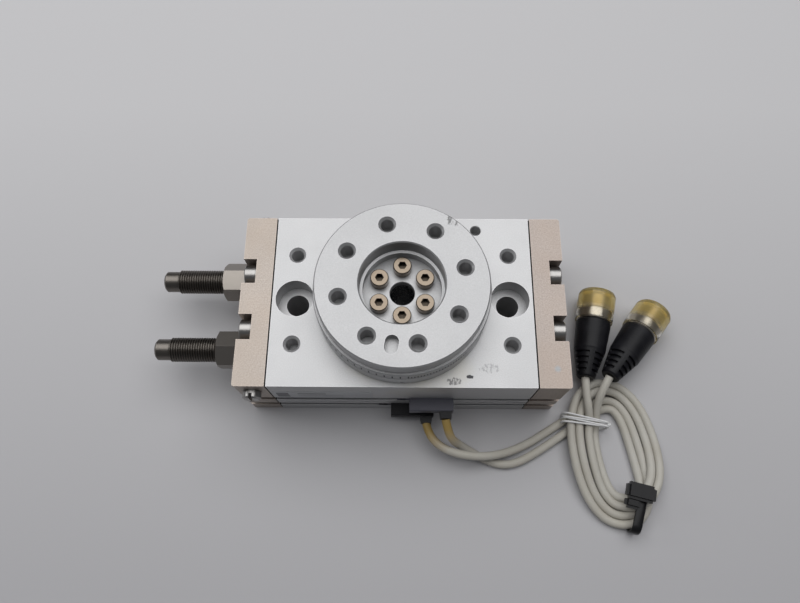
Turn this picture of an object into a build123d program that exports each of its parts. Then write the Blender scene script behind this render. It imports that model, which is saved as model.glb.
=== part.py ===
"""Rack-and-pinion rotary table actuator with shock absorbers, two proximity switches and their leads.

Frame: origin on the table's axis at the underside of the body, +X along the cylinder bores,
+Y away from the switch side, +Z up through the table. All sizes are in millimetres.
"""

import os
from math import acos, cos, pi, radians, sin, tan

from build123d import *

os.makedirs("parts", exist_ok=True)

# ---- driving dimensions ------------------------------------------------------------------
LENGTH = 127.0          # over both end covers
WIDTH = 70.0
HEIGHT = 40.0           # body without the table
BLOCK_HALF = 50.75      # half length of the body block
GASKET = 0.6
COVER_IN = BLOCK_HALF + GASKET
COVER_OUT = LENGTH / 2

BORE_Y = 15.1           # cylinder bores, each side of the table's axis
BORE_Z = 19.0
BORE_R = 10.0

MODULE = 1.0
TEETH = 18
PITCH_R = MODULE * TEETH / 2
PRESSURE = radians(20)
BACKLASH = 0.08
TOOTH_LOW = 11.5        # height range of the pinion's teeth
TOOTH_HIGH = 26.5
SWING_LOW = radians(-86.5)
SWING_HIGH = radians(103.5)
REST_SHIFT = -PITCH_R * (SWING_LOW + SWING_HIGH) / 2   # front rack's offset at rest

TABLE_TOP = 57.8
TABLE_R = 32.5
FLANGE_R = 33.5
TABLE_LOW = 47.0
RETAINER_TOP = 46.5
CENTRE_HOLE_R = 4.75
REGISTER_R = 16.0       # centring bore in the table's face

MOUNT_X = 42.0
MOUNT_Y = 18.5
SCREW_Y = 11.6          # end cover screws
SCREW_Z = (5.2, 34.8)
NOTCH_X = 58.2
PORT_Y = 28.0
PORT_Z = 31.45
PLUG_X = -57.4

GROOVE_Z = (8.6, 18.7)  # switch grooves along the front face
GROOVE_LIP = 1.9
GROOVE_ROOT = 2.6
GROOVE_DEPTH = 4.0
FRONT = -WIDTH / 2

THREAD_R = 5.0          # shock absorber thread, M10 x 1
ABSORBER_TIP = -101.2
ABSORBER_FRONT = -61.0
NUT_OUT = -75.5
ROD_TIP = -54.6

CABLE_R = 1.7
COIL_CENTRE = (88.0, -53.0)
COIL_TILT = 7.5
COIL_TOP = 5.2

MIN = Align.MIN
MID = Align.CENTER


# ---- helpers -----------------------------------------------------------------------------
def save(piece, name):
    """Label a finished piece and write its STEP file."""
    piece.part.label = name
    export_step(piece.part, f"parts/{name}.step")


def block(low, high, mode=Mode.ADD):
    """Box between two corners."""
    size = [high[i] - low[i] for i in range(3)]
    with Locations(tuple(low[i] + size[i] / 2 for i in range(3))):
        Box(*size, mode=mode)


def rod_x(radius, x_low, x_high, y, z, mode=Mode.ADD):
    """Cylinder along X."""
    with Locations((x_low, y, z)):
        Cylinder(radius, x_high - x_low, rotation=(0, 90, 0), align=(MID, MID, MIN), mode=mode)


def ring_x(inner, outer, x_low, x_high, y, z, mode=Mode.ADD):
    """Tube along X, made on its own and then joined to or cut from the part."""
    tube = Cylinder(outer, x_high - x_low, mode=Mode.PRIVATE)
    tube -= Cylinder(inner, x_high - x_low, mode=Mode.PRIVATE)
    add(Location(((x_low + x_high) / 2, y, z), (0, 90, 0)) * tube, mode=mode)


def rod_z(radius, z_low, z_high, x=0.0, y=0.0, mode=Mode.ADD):
    """Cylinder along Z."""
    with Locations((x, y, z_low)):
        Cylinder(radius, z_high - z_low, align=(MID, MID, MIN), mode=mode)


def tapped_hole(x, y, z_top, depth, radius, mouth):
    """Hole down from z_top at the thread's minor radius, with a countersunk mouth."""
    rod_z(radius, z_top - depth, z_top, x, y, mode=Mode.SUBTRACT)
    with Locations((x, y, z_top)):
        Cone(radius, mouth, mouth - radius, align=(MID, MID, Align.MAX), mode=Mode.SUBTRACT)


def cap_screw(seat, direction, head_r, head_height, shank_r, shank_length, hexagon):
    """Socket cap screw: the underside of the head is at the seat, and the shank runs the other way."""
    plane = Plane(seat, z_dir=direction)
    with Locations(plane.location):
        Cylinder(head_r, head_height, align=(MID, MID, MIN))
        Cylinder(shank_r, shank_length, align=(MID, MID, Align.MAX))
    with BuildSketch(plane.offset(head_height * 0.45)) as socket:
        RegularPolygon(hexagon / 2, 6, major_radius=False)
    extrude(socket.sketch, amount=head_height * 0.55, mode=Mode.SUBTRACT)


def polar(radius, start, count):
    """Points on a circle round the table's axis, from a start angle in degrees."""
    angles = [radians(start + 360 / count * i) for i in range(count)]
    return [(radius * cos(a), radius * sin(a)) for a in angles]


def switch_grooves(x_low, x_high):
    """Two T-grooves along the front face that hold the proximity switches."""
    for z in GROOVE_Z:
        block((x_low, FRONT, z - GROOVE_LIP), (x_high, FRONT + 1.0, z + GROOVE_LIP), Mode.SUBTRACT)
        block((x_low, FRONT + 1.0, z - GROOVE_ROOT),
              (x_high, FRONT + GROOVE_DEPTH, z + GROOVE_ROOT), Mode.SUBTRACT)


# ---- body block --------------------------------------------------------------------------
BEARING_OUT = 23.5      # upper bearing 30 x 47 x 9
BEARING_LOW = 31.0
SMALL_OUT = 12.0        # lower bearing 15 x 24 x 5
SMALL_LOW = 3.2
SMALL_HIGH = 8.2
SHAFT_WELL_R = 21.0
SHAFT_WELL_LOW = 29.6
BASE_WELL_R = 17.0
RETAINER_BOLT_R = 28.0
BASE_BOLT_R = 14.3
M6_CORE_R = 2.5
M6_MOUTH_R = 3.4
M6_DEPTH = 9.5
M4_CORE_R = 1.65
MOUNT_HOLE_R = 4.5      # clearance for M8
MOUNT_HEAD_R = 7.5
MOUNT_HEAD_DEPTH = 8.5
COVER_TAP_R = 2.15
COVER_TAP_END = 40.0
AIR_R = 1.5             # galleries from the ports to the far ends of the bores
PIN_PLACE = (29.4, 29.7)

with BuildPart() as body_block:
    block((-BLOCK_HALF, FRONT, 0), (BLOCK_HALF, WIDTH / 2, HEIGHT))
    rod_z(BEARING_OUT, BEARING_LOW, HEIGHT, mode=Mode.SUBTRACT)
    rod_z(SHAFT_WELL_R, SHAFT_WELL_LOW, BEARING_LOW, mode=Mode.SUBTRACT)
    rod_z(PITCH_R + 1.6, SMALL_HIGH, SHAFT_WELL_LOW, mode=Mode.SUBTRACT)
    rod_z(SMALL_OUT, SMALL_LOW, SMALL_HIGH, mode=Mode.SUBTRACT)
    rod_z(BASE_WELL_R, 0, SMALL_LOW, mode=Mode.SUBTRACT)
    for side in (-1, 1):
        rod_x(BORE_R, -BLOCK_HALF, BLOCK_HALF, side * BORE_Y, BORE_Z, mode=Mode.SUBTRACT)
        rod_x(AIR_R, -BLOCK_HALF, BLOCK_HALF, side * PORT_Y, PORT_Z, mode=Mode.SUBTRACT)
        rod_z(MOUNT_HOLE_R, 0, HEIGHT, side * MOUNT_X, 0, mode=Mode.SUBTRACT)
        rod_z(MOUNT_HEAD_R, HEIGHT - MOUNT_HEAD_DEPTH, HEIGHT, side * MOUNT_X, 0, mode=Mode.SUBTRACT)
        for y in (-MOUNT_Y, MOUNT_Y):
            tapped_hole(side * MOUNT_X, y, HEIGHT, M6_DEPTH, M6_CORE_R, M6_MOUTH_R)
        for y in (-SCREW_Y, SCREW_Y):
            for z in SCREW_Z:
                end = side * BLOCK_HALF
                low, high = sorted((end, side * COVER_TAP_END))
                rod_x(COVER_TAP_R, low, high, y, z, mode=Mode.SUBTRACT)
    for x, y in polar(RETAINER_BOLT_R, 0, 6):
        rod_z(M4_CORE_R, HEIGHT - 8, HEIGHT, x, y, mode=Mode.SUBTRACT)
    for x, y in polar(BASE_BOLT_R, 45, 4):
        rod_z(1.05, SMALL_LOW, SMALL_LOW + 4, x, y, mode=Mode.SUBTRACT)
    tapped_hole(*PIN_PLACE, HEIGHT, 6.0, 2.0, 2.3)
    switch_grooves(-BLOCK_HALF, BLOCK_HALF)
    block((-BLOCK_HALF, FRONT, 13.1), (BLOCK_HALF, FRONT + 0.7, 13.9), Mode.SUBTRACT)
save(body_block, "body_block")

# ---- end covers, gaskets and their screws ------------------------------------------------
RECESS_DEPTH = 4.0
NOTCH_R = 5.15
PORT_R = 4.3            # tapping drill of the end air ports
PORT_LOW = -54.0
M5_CLEAR_R = 2.75
M5_HEAD_R = 4.25

for name, side in (("end_cover_left", -1), ("end_cover_right", 1)):
    x_low, x_high = sorted((side * COVER_IN, side * COVER_OUT))
    recess = sorted((side * COVER_IN, side * (COVER_IN + RECESS_DEPTH)))
    pocket = sorted((side * NOTCH_X, side * COVER_OUT))
    with BuildPart() as end_cover:
        block((x_low, FRONT, 0), (x_high, WIDTH / 2, HEIGHT))
        outer = end_cover.edges().filter_by(Axis.Z).sort_by(Axis.X)
        fillet(outer[-2:] if side > 0 else outer[:2], 1.0)
        for y in (-BORE_Y, BORE_Y):
            rod_x(BORE_R, *recess, y, BORE_Z, mode=Mode.SUBTRACT)
        for y in (-SCREW_Y, SCREW_Y):
            for z in SCREW_Z:
                rod_x(M5_CLEAR_R, x_low, x_high, y, z, mode=Mode.SUBTRACT)
                rod_x(NOTCH_R, *pocket, y, z, mode=Mode.SUBTRACT)
                edge = sorted((z, HEIGHT if z > HEIGHT / 2 else 0))
                block((pocket[0], y - NOTCH_R, edge[0]), (pocket[1], y + NOTCH_R, edge[1]), Mode.SUBTRACT)
        for turn in (-1, 1):
            # air way from the gallery or port to the chamber at the end of the bore
            feed = Plane((side * 54.2, turn * PORT_Y, PORT_Z), x_dir=(1, 0, 0),
                         z_dir=(0, -turn * 9.0, -6.4))
            with BuildSketch(feed):
                Circle(1.2)
            extrude(amount=10.0, mode=Mode.SUBTRACT)
            rod_x(AIR_R, *recess, turn * PORT_Y, PORT_Z, mode=Mode.SUBTRACT)
        if side < 0:
            for turn in (-1, 1):
                rod_x(THREAD_R + 0.05, x_low, x_high, turn * BORE_Y, BORE_Z, mode=Mode.SUBTRACT)
                rod_x(PORT_R, x_low, PORT_LOW, turn * PORT_Y, PORT_Z, mode=Mode.SUBTRACT)
                with Locations((PLUG_X, turn * WIDTH / 2, PORT_Z)):
                    Cylinder(2.15, 7.0, rotation=(turn * 90, 0, 0), align=(MID, MID, MIN),
                             mode=Mode.SUBTRACT)
        switch_grooves(x_low, x_high)
    save(end_cover, name)

with BuildPart() as end_gaskets:
    for side in (-1, 1):
        x_low, x_high = sorted((side * BLOCK_HALF, side * COVER_IN))
        block((x_low, FRONT + 0.4, 0.4), (x_high, WIDTH / 2 - 0.4, HEIGHT - 0.4))
        for y in (-1, 1):
            rod_x(10.3, x_low, x_high, y * BORE_Y, BORE_Z, mode=Mode.SUBTRACT)
            rod_x(1.8, x_low, x_high, y * PORT_Y, PORT_Z, mode=Mode.SUBTRACT)
            for z in SCREW_Z:
                rod_x(2.8, x_low, x_high, y * SCREW_Y, z, mode=Mode.SUBTRACT)
        for z in GROOVE_Z:
            block((x_low, FRONT, z - GROOVE_ROOT), (x_high, FRONT + GROOVE_DEPTH, z + GROOVE_ROOT),
                  Mode.SUBTRACT)
save(end_gaskets, "end_gaskets")

with BuildPart() as cover_screws:
    for side in (-1, 1):
        for y in (-SCREW_Y, SCREW_Y):
            for z in SCREW_Z:
                cap_screw((side * NOTCH_X, y, z), (side, 0, 0), M5_HEAD_R, 5.0, 2.1, 17.0, 4.0)
    heads = cover_screws.edges().filter_by(GeomType.CIRCLE)
    rims = [e for e in heads if abs(e.radius - M5_HEAD_R) < 0.01 and abs(e.center().X) > NOTCH_X + 4]
    chamfer(rims, 0.4)
save(cover_screws, "cover_screws")

# ---- slotted plugs in the unused side ports ----------------------------------------------
PLUG_HEAD_R = 3.55
PLUG_STAND = 3.3

with BuildPart() as port_plugs:
    for turn in (-1, 1):
        with Locations(Location((PLUG_X, turn * WIDTH / 2, PORT_Z), (-turn * 90, 0, 0))):
            Cylinder(PLUG_HEAD_R, PLUG_STAND, align=(MID, MID, MIN))
            Cylinder(2.1, 2.5, align=(MID, MID, Align.MAX))
    crowns = [e for e in port_plugs.edges().filter_by(GeomType.CIRCLE)
              if abs(abs(e.center().Y) - WIDTH / 2 - PLUG_STAND) < 0.01]
    chamfer(crowns, 0.7)
    for turn in (-1, 1):
        y_low, y_high = sorted((turn * (WIDTH / 2 + PLUG_STAND - 2.0), turn * (WIDTH / 2 + PLUG_STAND)))
        block((PLUG_X - 0.65, y_low, PORT_Z - 4), (PLUG_X + 0.65, y_high, PORT_Z + 4), Mode.SUBTRACT)
save(port_plugs, "port_plugs")

# ---- bottom cover over the lower bearing -------------------------------------------------
BASE_LOW = 0.4          # underside of the bottom cover, above the mounting face
BASE_SEAT = 1.8

with BuildPart() as bottom_cover:
    rod_z(BASE_WELL_R - 0.05, BASE_LOW, SMALL_LOW)
    rod_z(9.3, BASE_LOW, SMALL_LOW, mode=Mode.SUBTRACT)
    for x, y in polar(BASE_BOLT_R, 45, 4):
        rod_z(1.35, BASE_LOW, SMALL_LOW, x, y, mode=Mode.SUBTRACT)
        rod_z(2.3, BASE_LOW, BASE_SEAT, x, y, mode=Mode.SUBTRACT)
save(bottom_cover, "bottom_cover")

with BuildPart() as bottom_cover_screws:
    for x, y in polar(BASE_BOLT_R, 45, 4):
        rod_z(2.2, 0.5, BASE_SEAT, x, y)
        rod_z(1.0, BASE_SEAT, BASE_SEAT + 5.0, x, y)
        block((x - 1.3, y - 0.25, 0.5), (x + 1.3, y + 0.25, 1.1), Mode.SUBTRACT)
        block((x - 0.25, y - 1.3, 0.5), (x + 0.25, y + 1.3, 1.1), Mode.SUBTRACT)
save(bottom_cover_screws, "bottom_cover_screws")

# ---- bearing retainer under the table ----------------------------------------------------
RETAINER_SEAT = HEIGHT + 2.2
M4_CLEAR_R = 2.15
M4_HEAD_R = 3.5
INDEX_DOT_R = 0.75

with BuildPart() as bearing_retainer:
    rod_z(FLANGE_R, HEIGHT, RETAINER_TOP)
    chamfer(bearing_retainer.edges().sort_by(Axis.Z)[-1], 0.7)
    rod_z(22.2, HEIGHT, RETAINER_TOP, mode=Mode.SUBTRACT)
    for x, y in polar(RETAINER_BOLT_R, 0, 6):
        rod_z(M4_CLEAR_R, HEIGHT, RETAINER_TOP, x, y, mode=Mode.SUBTRACT)
        rod_z(M4_HEAD_R + 0.2, RETAINER_SEAT, RETAINER_TOP, x, y, mode=Mode.SUBTRACT)
    with Locations((0, -FLANGE_R, HEIGHT + 1.3)):
        Cylinder(INDEX_DOT_R, 1.2, rotation=(90, 0, 0), mode=Mode.SUBTRACT)
save(bearing_retainer, "bearing_retainer")

with BuildPart() as retainer_screws:
    for x, y in polar(RETAINER_BOLT_R, 0, 6):
        cap_screw((x, y, RETAINER_SEAT), (0, 0, 1), M4_HEAD_R, 4.0, 1.6, 9.5, 3.0)
save(retainer_screws, "retainer_screws")


# ---- ball bearings -----------------------------------------------------------------------
def race(inner, outer, z_low, z_high, path_r, ball_r):
    """Bearing race with a ball groove, round the table's axis."""
    z_mid = (z_low + z_high) / 2
    with BuildSketch(Plane.XZ) as section:
        with Locations(((inner + outer) / 2, z_mid)):
            Rectangle(outer - inner, z_high - z_low)
        with Locations((path_r, z_mid)):
            Circle(ball_r + 0.05, mode=Mode.SUBTRACT)
    revolve(section.sketch, Axis.Z)


# label, shaft radius, inner race's outside, outer race's inside, housing radius, low, high, ball radius,
# ball count
BEARINGS = (("upper", 15.0, 17.1, 21.4, BEARING_OUT, BEARING_LOW, HEIGHT, 2.4, 12),
            ("lower", 7.5, 8.65, 10.85, SMALL_OUT, SMALL_LOW, SMALL_HIGH, 1.35, 10))

for label, shaft_r, in_r, out_r, house_r, z_low, z_high, ball_r, count in BEARINGS:
    path_r = (shaft_r + house_r) / 2
    z_mid = (z_low + z_high) / 2
    with BuildPart() as outer_race:
        race(out_r, house_r, z_low, z_high, path_r, ball_r)
    save(outer_race, f"{label}_bearing_outer_race")
    with BuildPart() as inner_race:
        race(shaft_r, in_r, z_low, z_high, path_r, ball_r)
    save(inner_race, f"{label}_bearing_inner_race")
    with BuildPart() as ball_set:
        for x, y in polar(path_r, 0, count):
            with Locations((x, y, z_mid)):
                Sphere(ball_r)
    save(ball_set, f"{label}_bearing_balls")
    with BuildPart() as cage:
        half = ball_r + 0.6
        rod_z(path_r + 0.3 * ball_r, z_mid - half, z_mid + half)
        rod_z(path_r - 0.3 * ball_r, z_mid - half, z_mid + half, mode=Mode.SUBTRACT)
        for x, y in polar(path_r, 0, count):
            with Locations(Plane((x, y, z_mid), z_dir=(x, y, 0)).location):
                Cylinder(ball_r + 0.08, 2 * ball_r, mode=Mode.SUBTRACT)
    save(cage, f"{label}_bearing_cage")


# ---- pinion shaft ------------------------------------------------------------------------
def involute(angle):
    """Involute function of a pressure angle."""
    return tan(angle) - angle


def half_tooth(radius):
    """Half of a pinion tooth's angle at a radius."""
    base = PITCH_R * cos(PRESSURE)
    at_pitch = (pi * MODULE / 2 - BACKLASH) / (2 * PITCH_R)
    flank = involute(acos(base / max(radius, base)))
    return at_pitch + involute(PRESSURE) - flank


ROOT_R = PITCH_R - 1.25 * MODULE
TIP_R = PITCH_R + MODULE
FLANK_RADII = [ROOT_R - 0.3 + (TIP_R - ROOT_R + 0.3) * i / 6 for i in range(7)]
right_flank = [(r * sin(half_tooth(r)), r * cos(half_tooth(r))) for r in FLANK_RADII]
left_flank = [(-x, y) for x, y in reversed(right_flank)]

with BuildSketch() as tooth:
    with BuildLine():
        Polyline(*right_flank, *left_flank, close=True)
    make_face()

SHAFT_LOW = 1.6
SHAFT_TOP = 43.0
SHAFT_R = 8.0
COLLAR_R = 16.8
COLLAR_LOW = 29.8
UPPER_SEAT_R = 15.0
LOWER_SEAT_R = 7.5
RING_Z = 2.6
TABLE_BOLT_R = 10.0

with BuildPart() as pinion_shaft:
    rod_z(LOWER_SEAT_R, SHAFT_LOW, SMALL_HIGH)
    rod_z(SHAFT_R, SMALL_HIGH, COLLAR_LOW)
    rod_z(COLLAR_R, COLLAR_LOW, BEARING_LOW)
    rod_z(UPPER_SEAT_R, BEARING_LOW, SHAFT_TOP)
    ring_groove = Cylinder(8.0, 1.0, mode=Mode.PRIVATE) - Cylinder(7.0, 1.0, mode=Mode.PRIVATE)
    add(Location((0, 0, RING_Z)) * ring_groove, mode=Mode.SUBTRACT)
    with BuildSketch(Plane.XY.offset(TOOTH_LOW)):
        Circle(ROOT_R)
        with PolarLocations(0, TEETH, start_angle=180 / TEETH):
            add(tooth.sketch)
    extrude(amount=TOOTH_HIGH - TOOTH_LOW)
    rod_z(CENTRE_HOLE_R, SHAFT_LOW, SHAFT_TOP, mode=Mode.SUBTRACT)
    for x, y in polar(TABLE_BOLT_R, 30, 6):
        rod_z(M4_CORE_R, SHAFT_TOP - 10.0, SHAFT_TOP, x, y, mode=Mode.SUBTRACT)
save(pinion_shaft, "pinion_shaft")

with BuildPart() as shaft_retaining_ring:
    rod_z(8.9, RING_Z - 0.48, RING_Z + 0.48)
    rod_z(7.05, RING_Z - 0.48, RING_Z + 0.48, mode=Mode.SUBTRACT)
    block((0, -1.6, 2.0), (10, 1.6, 3.2), Mode.SUBTRACT)
save(shaft_retaining_ring, "shaft_retaining_ring")

# ---- table -------------------------------------------------------------------------------
FLOOR_Z = 45.9          # floor of the recess that holds the table's screws
WEB_LOW = SHAFT_TOP
FLANGE_TOP = 51.5
REGISTER_LOW = 50.5
HUB_R = 17.5
HOLE_CIRCLE_R = 24.0
HOLE_START = 103.98
SLOT_ANGLE = -98.5
SLOT_DEPTH = 3.8

with BuildPart() as table:
    with BuildSketch(Plane.XZ):
        with BuildLine():
            Polyline((UPPER_SEAT_R, HEIGHT), (HUB_R, HEIGHT), (HUB_R, TABLE_LOW),
                     (FLANGE_R - 0.3, TABLE_LOW), (FLANGE_R, TABLE_LOW + 0.3),
                     (FLANGE_R, FLANGE_TOP - 0.3), (FLANGE_R - 0.3, FLANGE_TOP), (TABLE_R, FLANGE_TOP),
                     (TABLE_R, TABLE_TOP - 0.5), (TABLE_R - 0.5, TABLE_TOP),
                     (REGISTER_R + 0.45, TABLE_TOP), (REGISTER_R, TABLE_TOP - 0.45),
                     (REGISTER_R, REGISTER_LOW), (UPPER_SEAT_R, REGISTER_LOW - 0.3),
                     (UPPER_SEAT_R, FLOOR_Z), (CENTRE_HOLE_R + 0.2, FLOOR_Z),
                     (CENTRE_HOLE_R, FLOOR_Z - 0.2), (CENTRE_HOLE_R, WEB_LOW), (UPPER_SEAT_R, WEB_LOW),
                     close=True)
        make_face()
    revolve(axis=Axis.Z)
    for x, y in polar(HOLE_CIRCLE_R, HOLE_START, 8):
        tapped_hole(x, y, TABLE_TOP, 9.2, M6_CORE_R, M6_MOUTH_R)
    for x, y in polar(TABLE_BOLT_R, 30, 6):
        rod_z(2.2, WEB_LOW, FLOOR_Z, x, y, mode=Mode.SUBTRACT)
    with BuildSketch(Plane.XY.offset(TABLE_TOP - SLOT_DEPTH)):
        with PolarLocations(HOLE_CIRCLE_R, 1, start_angle=SLOT_ANGLE):
            SlotOverall(7.2, 5.0)
    extrude(amount=SLOT_DEPTH, mode=Mode.SUBTRACT)
save(table, "table")

with BuildPart() as table_screws:
    for x, y in polar(TABLE_BOLT_R, 30, 6):
        cap_screw((x, y, FLOOR_Z), (0, 0, 1), M4_HEAD_R, 4.0, 1.6, 11.0, 3.0)
    rims = [e for e in table_screws.edges().filter_by(GeomType.CIRCLE)
            if abs(e.radius - M4_HEAD_R) < 0.01 and e.center().Z > FLOOR_Z + 3]
    chamfer(rims, 0.3)
save(table_screws, "table_screws")

# ---- rack pistons with seals, wear rings and magnets -------------------------------------
PISTON_HALF = 37.4
PISTON_R = 9.95
FLAT_HALF = 22.5
RACK_ROOT = PITCH_R + 1.25 * MODULE
RACK_TIP = PITCH_R - MODULE
# low and high distance from the piston's end, and the radius at the bottom of each groove
SEAL_GROOVE = (2.4, 4.6, 8.2)
MAGNET_GROOVE = (6.0, 8.4, 8.45)
WEAR_GROOVE = (9.8, 13.4, 9.05)


def from_end(centre, end, groove):
    """X range of a groove measured from one end of a piston."""
    return sorted((centre + end * (PISTON_HALF - groove[0]), centre + end * (PISTON_HALF - groove[1])))


for label, side in (("front", -1), ("back", 1)):
    y = side * BORE_Y
    centre = -side * REST_SHIFT
    with BuildPart() as rack_piston:
        rod_x(PISTON_R, centre - PISTON_HALF, centre + PISTON_HALF, y, BORE_Z)
        chamfer(rack_piston.edges().filter_by(GeomType.CIRCLE), 0.6)
        y_low, y_high = sorted((0, side * RACK_TIP))
        block((centre - FLAT_HALF, y_low, 5), (centre + FLAT_HALF, y_high, 33), Mode.SUBTRACT)
        pitch = pi * MODULE
        spaces = [(k + 0.5) * pitch for k in range(-8, 8)
                  if abs((k + 0.5) * pitch - centre) < FLAT_HALF - 2]
        width = pitch / 2 + BACKLASH
        mouth = width / 2 + 1.1 * tan(PRESSURE) * MODULE
        root = width / 2 - 1.25 * tan(PRESSURE) * MODULE
        with BuildSketch(Plane.XY.offset(5)):
            for x in spaces:
                with BuildLine():
                    Polyline((x - mouth, side * (RACK_TIP - 0.1)), (x + mouth, side * (RACK_TIP - 0.1)),
                             (x + root, side * RACK_ROOT), (x - root, side * RACK_ROOT), close=True)
                make_face()
        extrude(amount=28, mode=Mode.SUBTRACT)
        for end in (-1, 1):
            for groove in (SEAL_GROOVE, WEAR_GROOVE):
                ring_x(groove[2], 11, *from_end(centre, end, groove), y, BORE_Z, Mode.SUBTRACT)
        ring_x(MAGNET_GROOVE[2], 11, *from_end(centre, -1, MAGNET_GROOVE), y, BORE_Z, Mode.SUBTRACT)
    save(rack_piston, f"rack_piston_{label}")
    with BuildPart() as piston_seals:
        for end in (-1, 1):
            ring_x(SEAL_GROOVE[2], 9.98, *from_end(centre, end, SEAL_GROOVE), y, BORE_Z)
    save(piston_seals, f"piston_seals_{label}")
    with BuildPart() as wear_rings:
        for end in (-1, 1):
            ring_x(WEAR_GROOVE[2], 9.97, *from_end(centre, end, WEAR_GROOVE), y, BORE_Z)
    save(wear_rings, f"wear_rings_{label}")
    with BuildPart() as magnet:
        ring_x(MAGNET_GROOVE[2], 9.6, *from_end(centre, -1, MAGNET_GROOVE), y, BORE_Z)
    save(magnet, f"piston_magnet_{label}")

# ---- shock absorbers and their lock nuts -------------------------------------------------
NUT_R = 8.083           # hexagon 14 across flats
THREAD_DEPTH = 0.45
NUT_TURN = {"front": 34.6, "back": 14.2}
WASHER_FACE_R = 9.9
THREAD_LOW = -94.7
CAVITY = (-91.0, -64.0)  # X range of the absorber's inside
CAVITY_R = 3.4
ROD_R = 1.5
COIL_STEP = 2.45
COIL_LOW = -90.5

for label, side in (("front", -1), ("back", 1)):
    y = side * BORE_Y
    axis_plane = Plane((0, y, BORE_Z), x_dir=(1, 0, 0), z_dir=(0, -1, 0))
    axis = Axis((0, y, BORE_Z), (1, 0, 0))
    ridges = []
    for k in range(33):
        x = THREAD_LOW + k
        ridges += [(x, THREAD_R), (x + 0.15, THREAD_R), (x + 0.55, THREAD_R - THREAD_DEPTH),
                   (x + 0.6, THREAD_R - THREAD_DEPTH)]
    with BuildPart() as absorber_body:
        with BuildSketch(axis_plane):
            with BuildLine():
                Polyline((ABSORBER_TIP, 0), (ABSORBER_TIP, 3.6), (ABSORBER_TIP + 0.75, 4.35),
                         (THREAD_LOW - 0.5, 4.35), (THREAD_LOW - 0.2, THREAD_R - 0.3), *ridges,
                         (ABSORBER_FRONT - 0.7, THREAD_R), (ABSORBER_FRONT - 0.3, THREAD_R),
                         (ABSORBER_FRONT, THREAD_R - 0.4), (ABSORBER_FRONT, ROD_R + 0.05),
                         (CAVITY[1], ROD_R + 0.05), (CAVITY[1], CAVITY_R), (CAVITY[0], CAVITY_R),
                         (CAVITY[0], 0), close=True)
            make_face()
        revolve(axis=axis)
        block((ABSORBER_TIP, y - 3.2, BORE_Z - 0.5), (ABSORBER_TIP + 1.2, y + 3.2, BORE_Z + 0.5),
              Mode.SUBTRACT)
    save(absorber_body, f"absorber_body_{label}")

    with BuildPart() as absorber_rod:
        rod_x(ROD_R, -82.0, ROD_TIP, y, BORE_Z)
        fillet(absorber_rod.edges().filter_by(GeomType.CIRCLE).sort_by(Axis.X)[-1], 0.4)
        rod_x(CAVITY_R - 0.05, -73.5, -71.5, y, BORE_Z)
    save(absorber_rod, f"absorber_rod_{label}")

    with BuildPart() as absorber_spring:
        for k in range(5):
            x = COIL_LOW + COIL_STEP * k
            ring_x(2.2, 3.0, x, x + 0.8, y, BORE_Z)
        for k in range(4):
            x = COIL_LOW + COIL_STEP * k + 0.8
            z = BORE_Z + 2.25 * (-1) ** k
            block((x, y - 0.4, z - 0.25), (x + COIL_STEP - 0.8, y + 0.4, z + 0.25))
    save(absorber_spring, f"absorber_spring_{label}")

    nut_plane = Plane((-COVER_OUT, y, BORE_Z), x_dir=(0, 1, 0), z_dir=(-1, 0, 0))
    with BuildPart() as lock_nut:
        with BuildSketch(nut_plane):
            RegularPolygon(NUT_R, 6, rotation=-NUT_TURN[label])
        extrude(amount=-COVER_OUT - NUT_OUT)
        with BuildSketch(axis_plane):
            with BuildLine():
                Polyline((NUT_OUT, 0), (NUT_OUT, 6.9), (NUT_OUT + 0.8, 8.3), (-COVER_OUT, 8.3),
                         (-COVER_OUT, 0), close=True)
            make_face()
        revolve(axis=axis, mode=Mode.INTERSECT)
        rod_x(WASHER_FACE_R, -COVER_OUT - 1.9, -COVER_OUT, y, BORE_Z)
        chamfer(lock_nut.edges().filter_by(GeomType.CIRCLE).sort_by(Axis.X).filter_by(
            lambda e: abs(e.radius - WASHER_FACE_R) < 0.01)[0], 0.9)
        rod_x(THREAD_R + 0.05, NUT_OUT, -COVER_OUT, y, BORE_Z, mode=Mode.SUBTRACT)
    save(lock_nut, f"lock_nut_{label}")

# ---- name plate, blank -------------------------------------------------------------------
PLATE_X = (-50.0, -11.5)
PLATE_Z = (21.3, 31.6)

with BuildPart() as name_plate:
    block((PLATE_X[0], FRONT - 0.15, PLATE_Z[0]), (PLATE_X[1], FRONT, PLATE_Z[1]))
save(name_plate, "name_plate")

# ---- proximity switches in the front grooves ---------------------------------------------
SWITCH_LONG = 22.5
CASE_LONG = 17.5
CASE_OUT = 5.1
BOOT_OUT = 2.8
BOOT_FROM_END = 3.05
SCREW_FROM_END = 2.4
# label, right end, groove height
SWITCHES = (("left", 13.0, GROOVE_Z[0]), ("right", 20.5, GROOVE_Z[1]))

for label, x_end, z in SWITCHES:
    with BuildPart() as switch:
        block((x_end - SWITCH_LONG, FRONT, z - 1.75), (x_end, FRONT + 3.7, z + 1.75))
        block((x_end - SWITCH_LONG, FRONT + 1.2, z - 2.4), (x_end, FRONT + 3.7, z + 2.4))
        block((x_end - CASE_LONG, FRONT - CASE_OUT, z - 2.3), (x_end, FRONT, z + 2.3))
        corners = switch.edges().filter_by(Axis.X).filter_by(lambda e: e.center().Y < FRONT - 5)
        fillet(corners, 0.5)
        with Locations((x_end - SWITCH_LONG + SCREW_FROM_END, FRONT + 2.0, z)):
            Cylinder(1.3, 8.0, rotation=(90, 0, 0), mode=Mode.SUBTRACT)
    save(switch, f"proximity_switch_{label}")

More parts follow.
